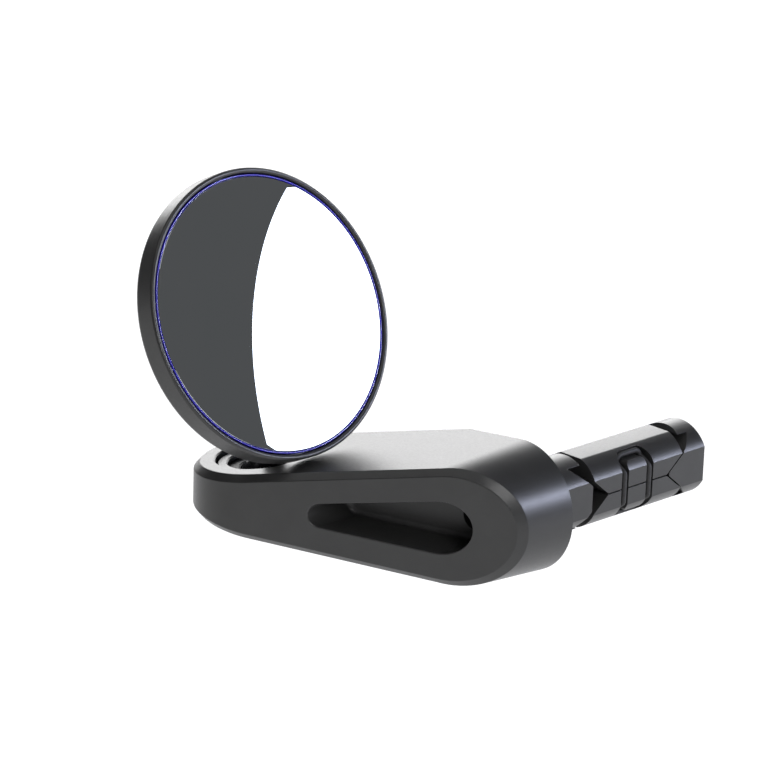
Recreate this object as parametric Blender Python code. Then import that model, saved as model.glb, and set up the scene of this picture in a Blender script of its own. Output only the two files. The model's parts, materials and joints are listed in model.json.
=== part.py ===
"""Bar-end bicycle mirror: a tapered arm, a round convex mirror on a ball joint,
and a two-jaw expander plug that grips the inside of the handlebar.

Frame: origin on the plug's axis, at the arm's seat against the bar end.
+Y runs into the handlebar, +Z is up, +X is towards the rider.  Metres.
"""
import math

import bmesh
import bpy
from mathutils import Matrix, Vector

MM = 0.001
GAP = 0.3 * MM                      # clearance kept between touching pieces

# Arm
SEAT_RADIUS = 14.1 * MM             # big end at the seat plane, y = 0
FLARE = 0.063                       # the big end's radius shrinks this much per unit of -Y
FRONT_DISTANCE = 22.85 * MM         # seat plane to front face, along the plug's axis
PLAN_ANGLE = math.radians(34.24)    # how far the arm sweeps back from square, seen from above
TAPER = math.radians(6.8)           # slope of the top and bottom faces towards the ball end
BODY_WIDTH = 29.4 * MM              # front face to back face of the swept part
BALL_REACH = 41.96 * MM             # plug axis to ball axis, along the front face
ARM_CHAMFER = 1.35 * MM
ARM_OVERSIZE = 80 * MM              # how far the arm's two construction prisms overrun

# Key pocket in the arm's front face
POCKET_RADIUS = 5.64 * MM
POCKET_SHIFT = -1.3 * MM            # centre of its big end, from the plug's axis
POCKET_LENGTH = 20.3 * MM           # big-end centre to small-end centre
POCKET_TAPER = math.radians(8.5)
POCKET_DEPTH = 12.0 * MM

# Ball socket
BALL_HEIGHT = 2.2 * MM              # ball centre above the plug's axis
BALL_RADIUS = 4.8 * MM
COUNTERBORE_RADIUS = 9.75 * MM
RING_OUTER = 9.45 * MM
RING_INNER = 7.2 * MM
RING_RECESS = 0.9 * MM
RING_THICKNESS = 1.0 * MM
CUP_BORE = 8.0 * MM
CUP_OUTER = 7.7 * MM
CUP_WALL = 0.8 * MM
CUP_CONE = 2.9 * MM                 # how far the cup's foot narrows
CUP_CONE_DEPTH = 2.4 * MM           # where it starts to narrow, below the ball's centre
SPRING_INNER = 2.6 * MM
SPRING_OUTER = 5.1 * MM
SPRING_THICKNESS = 0.4 * MM
SPANNER_SLOT = 1.2 * MM
SLOT_ANGLE = math.radians(330)

# Stud and mirror head
STUD_LEAN = math.radians(18.0)      # stud leans from upright towards +X
NECK_RADIUS = 2.6 * MM
NECK_END = 10.0 * MM                # ball centre to the neck's shoulder, along the stud
PIN_RADIUS = 2.0 * MM
PIN_END = 15.0 * MM
WASHER_THICKNESS = 0.5 * MM
WASHER_RADIUS = 3.4 * MM
BOSS_RADIUS = 5.0 * MM
HEAD_ANGLE = math.radians(25.4)     # how far the mirror faces up from level
HEAD_YAW = math.radians(-1.24)      # and how far it is turned from +X towards -Y
HEAD_RISE = 32.0 * MM               # ball centre to mirror centre, up the mirror's own face
HEAD_REACH = 17.05 * MM             # ball centre to the rim plane, along the mirror's normal
HEAD_RADIUS = 30.9 * MM
HEAD_DEPTH = 5.9 * MM
LIP_RADIUS = 29.7 * MM
BACK_WALL = 2.0 * MM
GLASS_RADIUS = 28.95 * MM
GLASS_THICKNESS = 1.8 * MM
GLASS_CURVE = 600 * MM              # radius of the convex glass
EDGE_RING_WIDTH = 0.35 * MM
PAD_RADIUS = 27.5 * MM
PAD_THICKNESS = 1.0 * MM

# Expander plug
PLUG_RADIUS = 8.17 * MM
SIDE_FLAT = 7.2 * MM               # flats on +X and -X, distance from the axis
TOP_FLAT = 7.7 * MM                # flats on +Z and -Z of the jaws
WEDGE_SLOPE = 0.8                   # rise of the wedge faces per unit of length
PRONG_HEIGHT = 7.0 * MM             # underside of the wedges' outer prongs
NEAR_TIP = 13.3 * MM                # blunt nose of the near wedge
NEAR_APEX = 16.9 * MM               # where its slopes would meet
NEAR_PRONG = 12.0 * MM
JAW_START = 13.75 * MM
JAW_END = 41.3 * MM
JAW_NEAR_APEX = 18.4 * MM
JAW_FAR_APEX = 36.4 * MM
FAR_TIP = 37.4 * MM
FAR_APEX = 36.9 * MM
FAR_PRONG = 42.75 * MM
FAR_PRONG_SLANT = 0.7 * MM
PLUG_END = 48.5 * MM
BAND_NEAR = 23.35 * MM               # the rubber bands' two runs across the split
BAND_FAR = 31.05 * MM
BAND_HEIGHT = 6.4 * MM
BAND_RADIUS = 0.65 * MM
BAND_GROOVE = 2.1 * MM
BAND_END_GROOVE = 1.7 * MM
BAND_STRAIGHT = 3.0 * MM
BAND_DIP_END = 5.4 * MM
BAND_OUT = 6.8 * MM                 # band centre from the axis, over the flats
BAND_IN = 3.9 * MM                  # and where it tucks into the round of the jaw
GROOVE_FLOOR = 3.05 * MM

# Bolt, nut and pins
BOLT_RADIUS = 2.0 * MM
BOLT_HEAD_RADIUS = 3.5 * MM
BOLT_HEAD_HEIGHT = 4.0 * MM
HEX_SOCKET = 1.5 * MM               # half across flats of the 3 mm key
BOLT_SEAT = -7.5 * MM
BOLT_WASHER_RADIUS = 3.8 * MM
BOLT_WASHER_THICKNESS = 0.8 * MM
COUNTERSINK_RADIUS = 4.2 * MM
BOLT_HOLE = 2.3 * MM
CHANNEL_RADIUS = 2.5 * MM
BOLT_END = 47.9 * MM
NUT_FLATS = 3.5 * MM                # half across flats
NUT_THICKNESS = 3.2 * MM
LOCATING_PIN_RADIUS = 1.0 * MM
LOCATING_PIN_OFFSET = 5.3 * MM
LOCATING_PIN_HALF = 3.0 * MM

ROUND = 48                          # sides of a large round piece
SMALL_ROUND = 24

# Working directions and places, from the dimensions above
SWEEP = Vector((math.cos(PLAN_ANGLE), math.sin(PLAN_ANGLE), 0))
FACING = Vector((math.sin(PLAN_ANGLE), -math.cos(PLAN_ANGLE), 0))
FRONT_POINT = Vector((0, -FRONT_DISTANCE, 0))
BALL = FRONT_POINT - FACING * BODY_WIDTH / 2 - SWEEP * BALL_REACH + Vector((0, 0, BALL_HEIGHT))
SOCKET_AXIS = Vector((-math.sin(TAPER), -FLARE, math.cos(TAPER))).normalized()
STUD_AXIS = Vector((math.sin(STUD_LEAN), 0, math.cos(STUD_LEAN)))
HEAD_TURN = Matrix.Rotation(HEAD_YAW, 3, "Z")
HEAD_NORMAL = HEAD_TURN @ Vector((math.cos(HEAD_ANGLE), 0, math.sin(HEAD_ANGLE)))
HEAD_UP = HEAD_TURN @ Vector((-math.sin(HEAD_ANGLE), 0, math.cos(HEAD_ANGLE)))
HEAD_CENTRE = BALL + HEAD_UP * HEAD_RISE + HEAD_NORMAL * HEAD_REACH


def clear_scene():
    for old in list(bpy.data.objects):
        bpy.data.objects.remove(old, do_unlink=True)


def material(name, colour, roughness, metallic):
    made = bpy.data.materials.new(name)
    made.use_nodes = True
    shader = made.node_tree.nodes["Principled BSDF"]
    shader.inputs["Base Color"].default_value = (*colour, 1.0)
    shader.inputs["Roughness"].default_value = roughness
    shader.inputs["Metallic"].default_value = metallic
    return made


def add_object(name, bm, look=None, pivot=None):
    """Turn a bmesh given in world space into an object whose origin is at its pivot."""
    bmesh.ops.recalc_face_normals(bm, faces=bm.faces)
    origin = Vector(pivot) if pivot else Vector((0, 0, 0))
    bmesh.ops.translate(bm, verts=bm.verts, vec=-origin)
    mesh = bpy.data.meshes.new(name)
    bm.to_mesh(mesh)
    bm.free()
    made = bpy.data.objects.new(name, mesh)
    bpy.context.scene.collection.objects.link(made)
    made.location = origin
    if look:
        mesh.materials.append(look)
        mesh.shade_smooth()
        mesh.set_sharp_from_angle(angle=math.radians(30))
    return made


def boolean(target, cutter, operation="DIFFERENCE"):
    """Add an exact Boolean and hide its tool."""
    tool = target.modifiers.new(cutter.name, "BOOLEAN")
    tool.operation = operation
    tool.object = cutter
    cutter.hide_render = True
    cutter.display_type = "WIRE"


def frame_at(point, axis):
    """Matrix with local +Z along the axis and the origin at the point."""
    turn = Vector((0, 0, 1)).rotation_difference(axis).to_matrix().to_4x4()
    return Matrix.Translation(point) @ turn


def turned(profile, sides=ROUND, place=Matrix.Identity(4), closed=False):
    """Spin (radius, height) points about local Z; closed joins the last to the first."""
    bm = bmesh.new()
    rows = []
    for radius, height in profile:
        if radius < 1e-9:
            rows.append([bm.verts.new(place @ Vector((0, 0, height)))])
            continue
        angles = [2 * math.pi * step / sides for step in range(sides)]
        rows.append([bm.verts.new(place @ Vector((radius * math.cos(a), radius * math.sin(a), height)))
                     for a in angles])
    pairs = list(zip(rows, rows[1:]))
    if closed:
        pairs.append((rows[-1], rows[0]))
    for low, high in pairs:
        for step in range(sides):
            after = (step + 1) % sides
            corners = [low[step % len(low)], low[after % len(low)],
                       high[after % len(high)], high[step % len(high)]]
            bm.faces.new(list(dict.fromkeys(corners)))
    return bm


def prism(outline, start, end, place=lambda u, v, w: Vector((u, v, w))):
    """Extrude a closed (u, v) outline from start to end, placed by a function of u, v, w."""
    bm = bmesh.new()
    low = [bm.verts.new(place(u, v, start)) for u, v in outline]
    high = [bm.verts.new(place(u, v, end)) for u, v in outline]
    bm.faces.new(low)
    bm.faces.new(high)
    count = len(outline)
    for i in range(count):
        bm.faces.new((low[i], low[(i + 1) % count], high[(i + 1) % count], high[i]))
    return bm


def along_y(u, v, w):
    return Vector((u, w, v))


def along_x(u, v, w):
    return Vector((w, u, v))


def arc(centre, radius, start, end, steps):
    """Points on an arc, angles in radians, both ends included."""
    turns = [start + (end - start) * i / steps for i in range(steps + 1)]
    return [(centre[0] + radius * math.cos(t), centre[1] + radius * math.sin(t)) for t in turns]


def hexagon(half_flats):
    return arc((0, 0), half_flats / math.cos(math.pi / 6), 0, 2 * math.pi * 5 / 6, 5)


def rounded_box(low, high, radius, steps=6):
    """Outline of a rectangle with round corners, from two opposite corners."""
    corners = [(high[0] - radius, high[1] - radius), (low[0] + radius, high[1] - radius),
               (low[0] + radius, low[1] + radius), (high[0] - radius, low[1] + radius)]
    outline = []
    for quarter, centre in enumerate(corners):
        start = quarter * math.pi / 2
        outline += arc(centre, radius, start, start + math.pi / 2, steps)
    return outline


def evaluated_bmesh(target):
    """The object's mesh with its modifiers applied, as a new bmesh."""
    graph = bpy.context.evaluated_depsgraph_get()
    mesh = bpy.data.meshes.new_from_object(target.evaluated_get(graph))
    bm = bmesh.new()
    bm.from_mesh(mesh)
    bpy.data.meshes.remove(mesh)
    return bm


# ---------------------------------------------------------------- arm

def side_outline(radius):
    """Teardrop of the arm seen along the plug's axis: a big arc and two tapering sides."""
    quarter = math.pi / 2 + TAPER
    outline = arc((0, 0), radius, -quarter, quarter, 36)
    far = -ARM_OVERSIZE
    height = (radius + far * math.sin(TAPER)) / math.cos(TAPER)
    return outline + [(far, height), (far, -height)]


def plan_outline():
    """The arm seen from above: seat, swept back face, round ball end, front face."""
    right = 20 * MM
    front_right = FRONT_POINT + SWEEP * right / SWEEP.x
    seat_corner = (FRONT_DISTANCE * SWEEP.x - BODY_WIDTH) / SWEEP.y
    back = math.atan2(-FACING.y, -FACING.x)
    outline = [(front_right.x, front_right.y), (right, 0), (seat_corner, 0)]
    return outline + arc((BALL.x, BALL.y), BODY_WIDTH / 2, back, back + math.pi, 30)


def arm_blank():
    """The side and plan prisms crossed, with every edge chamfered but the seat's."""
    bm = bmesh.new()
    spans = [2 * MM, -ARM_OVERSIZE]
    rings = []
    for y in spans:
        rings.append([bm.verts.new((x, y, z)) for x, z in side_outline(SEAT_RADIUS + FLARE * y)])
    bm.faces.new(rings[0])
    bm.faces.new(rings[1])
    count = len(rings[0])
    for i in range(count):
        after = (i + 1) % count
        bm.faces.new((rings[0][i], rings[0][after], rings[1][after], rings[1][i]))
    side = add_object("arm_side_guide", bm)
    plan = add_object("arm_plan_guide", prism(plan_outline(), -ARM_OVERSIZE, ARM_OVERSIZE))
    boolean(side, plan, "INTERSECT")
    blank = evaluated_bmesh(side)
    for guide in (side, plan):
        bpy.data.objects.remove(guide, do_unlink=True)
    bmesh.ops.remove_doubles(blank, verts=blank.verts, dist=0.005 * MM)
    blank.normal_update()
    corner = math.radians(25)
    edges = [edge for edge in blank.edges
             if edge.calc_face_angle(0) > corner and min(v.co.y for v in edge.verts) < -0.01 * MM]
    bmesh.ops.bevel(blank, geom=edges, offset=ARM_CHAMFER, offset_type="OFFSET", segments=1,
                    affect="EDGES", clamp_overlap=True)
    return blank


def pocket_outline():
    """Teardrop pocket: a big end, a small end and the two sides tangent to both."""
    small = POCKET_RADIUS - POCKET_LENGTH * math.sin(POCKET_TAPER)
    tangent = math.pi / 2 + POCKET_TAPER
    big_end = arc((POCKET_SHIFT, 0), POCKET_RADIUS, -tangent, tangent, 24)
    small_end = arc((POCKET_SHIFT - POCKET_LENGTH, 0), small, tangent, 2 * math.pi - tangent, 12)
    return big_end + small_end


def pocket_cutter():
    """The pocket runs along the plug's axis and its floor is parallel to the front face."""
    def place(u, v, w):
        if w < 0:
            return Vector((u, -ARM_OVERSIZE, v))
        return Vector((u, -FRONT_DISTANCE + math.tan(PLAN_ANGLE) * u + POCKET_DEPTH, v))
    return prism(pocket_outline(), -1, 1, place)


def top_face_height():
    """Distance from the ball's centre to the arm's top face, along the socket's axis."""
    top = (SEAT_RADIUS + FLARE * BALL.y + BALL.x * math.sin(TAPER)) / math.cos(TAPER)
    return (top - BALL.z) * SOCKET_AXIS.z


def ring_top():
    return top_face_height() - RING_RECESS


def ring_bottom():
    return ring_top() - RING_THICKNESS


def socket_floor():
    return -(BALL_RADIUS + GAP + CUP_WALL + GAP + SPRING_THICKNESS)


def build_arm(look):
    arm = add_object("arm_body", arm_blank(), look)
    boolean(arm, add_object("cut_key_pocket", pocket_cutter()))
    place = frame_at(BALL, SOCKET_AXIS)
    above = top_face_height() + 5 * MM
    step = ring_bottom() - GAP
    socket = [(0, above), (COUNTERBORE_RADIUS, above), (COUNTERBORE_RADIUS, step), (CUP_BORE, step),
              (CUP_BORE, -CUP_CONE_DEPTH), (CUP_BORE - CUP_CONE, socket_floor()), (0, socket_floor())]
    boolean(arm, add_object("cut_socket", turned(socket, place=place)))
    bore = [(0, -20 * MM), (COUNTERSINK_RADIUS, -20 * MM), (COUNTERSINK_RADIUS, BOLT_SEAT),
            (BOLT_HOLE, BOLT_SEAT), (BOLT_HOLE, 2 * MM), (0, 2 * MM)]
    boolean(arm, add_object("cut_bolt_hole", turned(bore, SMALL_ROUND, y_frame())))
    for side in (-1, 1):
        hole = pin_solid(side, LOCATING_PIN_RADIUS + 0.2 * MM, LOCATING_PIN_HALF + GAP)
        boolean(arm, add_object("cut_pin_hole_%d" % side, hole))
    return arm


def y_frame(x=0.0, z=0.0):
    """Local +Z along +Y, for pieces turned about the plug's axis."""
    return Matrix.Translation((x, 0, z)) @ Matrix.Rotation(-math.pi / 2, 4, "X")


def pin_solid(side, radius, half):
    profile = [(0, -half), (radius, -half), (radius, half), (0, half)]
    return turned(profile, 16, y_frame(side * LOCATING_PIN_OFFSET))


def build_locating_pins(look):
    """Two pins that stop the near wedge turning on the seat."""
    for name, side in (("left_locating_pin", -1), ("right_locating_pin", 1)):
        add_object(name, pin_solid(side, LOCATING_PIN_RADIUS, LOCATING_PIN_HALF), look)


# ---------------------------------------------------------------- ball joint

def build_retaining_ring(look):
    """Threaded ring with a chamfered mouth and two spanner slots."""
    top = ring_top()
    bottom = ring_bottom()
    edge = 0.35 * MM
    profile = [(RING_INNER, bottom), (RING_OUTER, bottom), (RING_OUTER, top - edge),
               (RING_OUTER - edge, top), (RING_INNER + edge, top), (RING_INNER, top - edge)]
    place = frame_at(BALL, SOCKET_AXIS)
    ring = add_object("retaining_ring", turned(profile, place=place, closed=True), look)
    half = SPANNER_SLOT / 2
    reach = 20 * MM
    slot = [(-reach, -half), (reach, -half), (reach, half), (-reach, half)]
    turn = Matrix.Rotation(SLOT_ANGLE, 4, "Z")
    cutter = prism(slot, top - 0.8 * MM, top + 2 * MM, lambda u, v, w: place @ turn @ Vector((u, v, w)))
    boolean(ring, add_object("cut_spanner_slots", cutter))
    return ring


def cup_curve(start, end, steps=5):
    """The cup's inner face: part of a sphere one gap outside the ball."""
    radius = BALL_RADIUS + GAP
    turns = [start + (end - start) * i / steps for i in range(steps + 1)]
    return [(radius * math.cos(t), radius * math.sin(t)) for t in turns]


def build_lower_cup(look):
    radius = BALL_RADIUS + GAP
    bottom = -(radius + CUP_WALL)
    inner = cup_curve(-math.pi / 2 + 0.5, -0.02)
    outer = [(CUP_OUTER, inner[-1][1]), (CUP_OUTER, -CUP_CONE_DEPTH - 0.2 * MM),
             (CUP_OUTER - CUP_CONE, bottom), (inner[0][0], bottom)]
    cup = turned(inner + outer, SMALL_ROUND, frame_at(BALL, SOCKET_AXIS), closed=True)
    return add_object("lower_cup", cup, look, BALL)


def build_upper_cup(look):
    top = ring_bottom() - GAP
    radius = BALL_RADIUS + GAP
    inner = cup_curve(GAP / radius, math.asin((top - 0.4 * MM) / radius))
    mouth = inner[-1][0]
    outer = [(mouth + 0.4 * MM, top), (CUP_OUTER, top), (CUP_OUTER, inner[0][1])]
    cup = turned(inner + outer, SMALL_ROUND, frame_at(BALL, SOCKET_AXIS), closed=True)
    return add_object("upper_cup", cup, look, BALL)


def build_preload_spring(look):
    """Wave washer under the lower cup, which keeps the ball stiff to move."""
    low = socket_floor() + 0.1 * MM
    high = low + SPRING_THICKNESS - 0.1 * MM
    profile = [(SPRING_INNER, low), (SPRING_OUTER, low), (SPRING_OUTER, high), (SPRING_INNER, high)]
    return add_object("preload_spring", turned(profile, SMALL_ROUND, frame_at(BALL, SOCKET_AXIS),
                                               closed=True), look)


def build_ball_stud(look):
    """Ball, neck and the pin that the mirror head turns on."""
    blend = math.asin(NECK_RADIUS / BALL_RADIUS)
    turns = [math.pi - (math.pi - blend) * i / 12 for i in range(13)]
    ball = [(BALL_RADIUS * math.sin(t), BALL_RADIUS * math.cos(t)) for t in turns]
    ball[0] = (0, -BALL_RADIUS)
    edge = 0.3 * MM
    neck = [(NECK_RADIUS, NECK_END - edge), (NECK_RADIUS - edge, NECK_END), (PIN_RADIUS, NECK_END),
            (PIN_RADIUS, PIN_END - edge), (PIN_RADIUS - edge, PIN_END), (0, PIN_END)]
    return add_object("ball_stud", turned(ball + neck, 24, frame_at(BALL, STUD_AXIS)), look, BALL)


def build_stud_washer(name, order, look):
    """Spring washer first, then the friction washer, between the neck and the boss."""
    low = NECK_END + GAP + order * (WASHER_THICKNESS + GAP)
    profile = [(PIN_RADIUS + GAP, low), (WASHER_RADIUS, low), (WASHER_RADIUS, low + WASHER_THICKNESS),
               (PIN_RADIUS + GAP, low + WASHER_THICKNESS)]
    return add_object(name, turned(profile, SMALL_ROUND, frame_at(BALL, STUD_AXIS), closed=True),
                      look, BALL)


# ---------------------------------------------------------------- mirror head

def head_frame():
    """Local +Z out of the glass, local +Y up its face, origin at the rim plane's centre."""
    across = HEAD_UP.cross(HEAD_NORMAL)
    turn = Matrix((across, HEAD_UP, HEAD_NORMAL)).transposed().to_4x4()
    return Matrix.Translation(HEAD_CENTRE) @ turn


def glass_height(radius):
    """Front surface of the convex glass; its edge sits just below the rim."""
    fall = (GLASS_RADIUS ** 2 - radius ** 2) / (2 * GLASS_CURVE)
    return fall - 0.45 * MM


def build_mirror_housing(look):
    """Round shell with a thin rounded rim, plus the boss that takes the stud's pin."""
    floor = -(HEAD_DEPTH - BACK_WALL)
    middle = (HEAD_RADIUS + LIP_RADIUS) / 2
    lip = (HEAD_RADIUS - LIP_RADIUS) / 2
    rim = arc((middle, -lip), lip, math.pi, 0, 4)
    corner = 1.3 * MM
    back = arc((HEAD_RADIUS - corner, -HEAD_DEPTH + corner), corner, 0, -math.pi / 2, 3)
    profile = [(0, floor), (LIP_RADIUS, floor)] + rim + back + [(0, -HEAD_DEPTH)]
    shell = add_object("mirror_housing", turned(profile, ROUND, head_frame()), look, BALL)

    start = NECK_END + GAP + 2 * (WASHER_THICKNESS + GAP)
    edge = 0.5 * MM
    boss = [(0, start), (BOSS_RADIUS - edge, start), (BOSS_RADIUS, start + edge),
            (BOSS_RADIUS, 30 * MM), (0, 30 * MM)]
    solid = add_object("boss_guide", turned(boss, SMALL_ROUND, frame_at(BALL, STUD_AXIS)))
    slab = 60 * MM
    inside = prism([(-slab, -slab), (slab, -slab), (slab, slab), (-slab, slab)], floor - 0.4 * MM,
                   slab, lambda u, v, w: head_frame() @ Vector((u, v, w)))
    boolean(solid, add_object("cut_boss_top", inside))
    boolean(shell, solid, "UNION")
    bore = [(0, start - 5 * MM), (PIN_RADIUS + GAP, start - 5 * MM),
            (PIN_RADIUS + GAP, PIN_END + GAP), (0, PIN_END + GAP)]
    boolean(shell, add_object("cut_boss_bore", turned(bore, SMALL_ROUND, frame_at(BALL, STUD_AXIS))))
    return shell


def build_glass(look):
    radii = [GLASS_RADIUS * i / 3 for i in range(4)]
    front = [(r, glass_height(r)) for r in radii]
    back = [(r, glass_height(r) - GLASS_THICKNESS) for r in reversed(radii)]
    return add_object("mirror_glass", turned(front + back, ROUND, head_frame()), look, BALL)


def build_edge_ring(look):
    """Thin blue bead that seals the glass in the rim."""
    inner = GLASS_RADIUS + 0.15 * MM
    outer = inner + EDGE_RING_WIDTH
    top = glass_height(GLASS_RADIUS) + 0.1 * MM
    low = top - 2 * MM
    profile = [(inner, low), (outer, low), (outer, top), (inner, top)]
    return add_object("glass_edge_bead", turned(profile, ROUND, head_frame(), closed=True), look, BALL)


def build_backing_pad(look):
    """Foam disc that holds the glass off the shell's floor."""
    low = -(HEAD_DEPTH - BACK_WALL) + 0.15 * MM
    profile = [(0, low), (PAD_RADIUS, low), (PAD_RADIUS, low + PAD_THICKNESS), (0, low + PAD_THICKNESS)]
    return add_object("backing_pad", turned(profile, ROUND, head_frame()), look, BALL)


# ---------------------------------------------------------------- expander plug

def plug_section(flats):
    """Round section cut by flats, given as (direction angle, distance from the axis)."""
    outline = []
    for step in range(64):
        angle = 2 * math.pi * step / 64
        radius = PLUG_RADIUS
        for centre, distance in flats:
            facing = math.cos(angle - centre)
            if facing > 0:
                radius = min(radius, distance / facing)
        outline.append((radius * math.cos(angle), radius * math.sin(angle)))
    return outline


SIDES = [(0.0, SIDE_FLAT), (math.pi, SIDE_FLAT)]
TOPS = [(math.pi / 2, TOP_FLAT), (-math.pi / 2, TOP_FLAT)]


def plug_piece(name, section, profile, look, channel):
    """Section run along the axis, crossed with a side profile, then bored for the bolt."""
    overrun = 2 * MM
    bm = prism(plug_section(section), -overrun, PLUG_END + overrun, along_y)
    piece = add_object(name, bm, look)
    shape = add_object("guide_" + name, prism(profile, -20 * MM, 20 * MM, along_x))
    boolean(piece, shape, "INTERSECT")
    hole = [(0, -overrun), (channel, -overrun), (channel, PLUG_END + overrun), (0, PLUG_END + overrun)]
    boolean(piece, add_object("bore_" + name, turned(hole, SMALL_ROUND, y_frame())))
    return piece


def mirrored(half):
    """Close a half profile given from the top down with its reflection in z = 0."""
    return half + [(y, -z) for y, z in reversed(half)]


def build_near_wedge(look):
    """Fixed wedge on the arm's seat: two slopes inside, two short prongs outside."""
    tall = 12 * MM
    groove = NEAR_APEX - PRONG_HEIGHT / WEDGE_SLOPE
    nose = (NEAR_APEX - NEAR_TIP) * WEDGE_SLOPE
    half = [(GAP, tall), (NEAR_PRONG, tall), (NEAR_PRONG, PRONG_HEIGHT), (groove, PRONG_HEIGHT),
            (NEAR_TIP, nose)]
    wedge = plug_piece("near_wedge", SIDES, mirrored(half), look, BOLT_HOLE)
    for side in (-1, 1):
        hole = pin_solid(side, LOCATING_PIN_RADIUS + 0.2 * MM, LOCATING_PIN_HALF + GAP)
        boolean(wedge, add_object("cut_wedge_pin_%d" % side, hole))
    return wedge


def build_far_wedge(look):
    """Sliding wedge at the plug's end, with a hexagon pocket that holds the nut."""
    tall = 12 * MM
    groove = FAR_APEX + PRONG_HEIGHT / WEDGE_SLOPE
    nose = (FAR_TIP - FAR_APEX) * WEDGE_SLOPE
    slant = (tall - PRONG_HEIGHT) * FAR_PRONG_SLANT / (PLUG_RADIUS - PRONG_HEIGHT)
    half = [(PLUG_END, tall), (FAR_PRONG + slant, tall), (FAR_PRONG, PRONG_HEIGHT),
            (groove, PRONG_HEIGHT), (FAR_TIP, nose)]
    wedge = plug_piece("far_wedge", SIDES, mirrored(half), look, BOLT_HOLE)
    pocket = prism(hexagon(NUT_FLATS + GAP), nut_start() - GAP, PLUG_END + 2 * MM, along_y)
    boolean(wedge, add_object("cut_nut_pocket", pocket))
    return wedge


def nut_start():
    return PLUG_END - NUT_THICKNESS - GAP


def band_cutter(side):
    """Racetrack groove for a rubber band, cut in from one side of the plug."""
    half, end = BAND_GROOVE / 2, BAND_END_GROOVE / 2
    outer = rounded_box((BAND_NEAR - half, -BAND_HEIGHT - end), (BAND_FAR + half, BAND_HEIGHT + end),
                        2.4 * MM)
    inner = rounded_box((BAND_NEAR + half, -BAND_HEIGHT + end), (BAND_FAR - half, BAND_HEIGHT - end),
                        0.9 * MM)
    bm = bmesh.new()
    depths = (side * GROOVE_FLOOR, side * 12 * MM)
    loops = [[[bm.verts.new((x, y, z)) for y, z in ring] for x in depths] for ring in (outer, inner)]
    for low, high in loops:
        for i in range(len(low)):
            after = (i + 1) % len(low)
            bm.faces.new((low[i], low[after], high[after], high[i]))
    for end in (0, 1):
        wide, tight = loops[0][end], loops[1][end]
        for i in range(len(wide)):
            after = (i + 1) % len(wide)
            bm.faces.new((wide[i], wide[after], tight[after], tight[i]))
    return bm


def build_jaw(name, way, look):
    """One half of the gripping sleeve; way is +1 for the upper jaw and -1 for the lower."""
    tall = 12 * MM
    split = GAP / 2
    near_open = (JAW_NEAR_APEX - JAW_START) * WEDGE_SLOPE
    far_open = (JAW_END - JAW_FAR_APEX) * WEDGE_SLOPE
    half = [(JAW_START, tall), (JAW_START, near_open), (JAW_NEAR_APEX - split / WEDGE_SLOPE, split),
            (JAW_FAR_APEX + split / WEDGE_SLOPE, split), (JAW_END, far_open), (JAW_END, tall)]
    profile = [(y, way * z) for y, z in half]
    jaw = plug_piece(name, SIDES + TOPS, profile, look, CHANNEL_RADIUS)
    for side in (-1, 1):
        boolean(jaw, add_object("groove_%s_%d" % (name, side), band_cutter(side)))
    return jaw


def band_route(side, steps=40):
    """Centre line of a rubber band: a racetrack that dips inwards at its two ends."""
    outline = rounded_box((BAND_NEAR, -BAND_HEIGHT), (BAND_FAR, BAND_HEIGHT), 1.9 * MM, steps // 8)
    filled = []
    for (y0, z0), (y1, z1) in zip(outline, outline[1:] + outline[:1]):
        parts = max(1, round(math.hypot(y1 - y0, z1 - z0) / (1.5 * MM)))
        filled += [(y0 + (y1 - y0) * i / parts, z0 + (z1 - z0) * i / parts) for i in range(parts)]
    route = []
    for y, z in filled:
        tuck = min(1.0, max(0.0, (abs(z) - BAND_STRAIGHT) / (BAND_DIP_END - BAND_STRAIGHT)))
        x = BAND_OUT + (BAND_IN - BAND_OUT) * tuck * tuck * (3 - 2 * tuck)
        route.append(Vector((side * x, y, z)))
    return route


def build_band(name, side, look):
    """Rubber band swept round its route; the section keeps one side facing outwards."""
    route = band_route(side)
    bm = bmesh.new()
    out = Vector((side, 0, 0))
    sections = []
    for i, point in enumerate(route):
        ahead = (route[(i + 1) % len(route)] - route[i - 1]).normalized()
        across = ahead.cross(out).normalized()
        lift = across.cross(ahead).normalized()
        angles = [2 * math.pi * k / 6 for k in range(6)]
        sections.append([bm.verts.new(point + (across * math.cos(a) + lift * math.sin(a)) * BAND_RADIUS)
                         for a in angles])
    for i, section in enumerate(sections):
        ahead = sections[(i + 1) % len(sections)]
        for k in range(6):
            bm.faces.new((section[k], section[(k + 1) % 6], ahead[(k + 1) % 6], ahead[k]))
    return add_object(name, bm, look)


# ---------------------------------------------------------------- bolt and nut

def build_bolt(look):
    """Cap screw along the plug's axis, with a hexagon socket for the key."""
    seat = BOLT_SEAT - GAP - BOLT_WASHER_THICKNESS - GAP
    front = seat - BOLT_HEAD_HEIGHT
    edge = 0.4 * MM
    profile = [(0, front), (BOLT_HEAD_RADIUS - edge, front), (BOLT_HEAD_RADIUS, front + edge),
               (BOLT_HEAD_RADIUS, seat), (BOLT_RADIUS, seat), (BOLT_RADIUS, BOLT_END - edge),
               (BOLT_RADIUS - edge, BOLT_END), (0, BOLT_END)]
    bolt = add_object("expander_bolt", turned(profile, SMALL_ROUND, y_frame()), look)
    socket = prism(hexagon(HEX_SOCKET), front - 1 * MM, front + 2.2 * MM, along_y)
    boolean(bolt, add_object("cut_hex_socket", socket))
    return bolt


def build_bolt_washer(look):
    high = BOLT_SEAT - GAP
    low = high - BOLT_WASHER_THICKNESS
    inner = BOLT_RADIUS + 0.2 * MM
    profile = [(inner, low), (BOLT_WASHER_RADIUS, low), (BOLT_WASHER_RADIUS, high), (inner, high)]
    return add_object("bolt_washer", turned(profile, SMALL_ROUND, y_frame(), closed=True), look)


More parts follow.
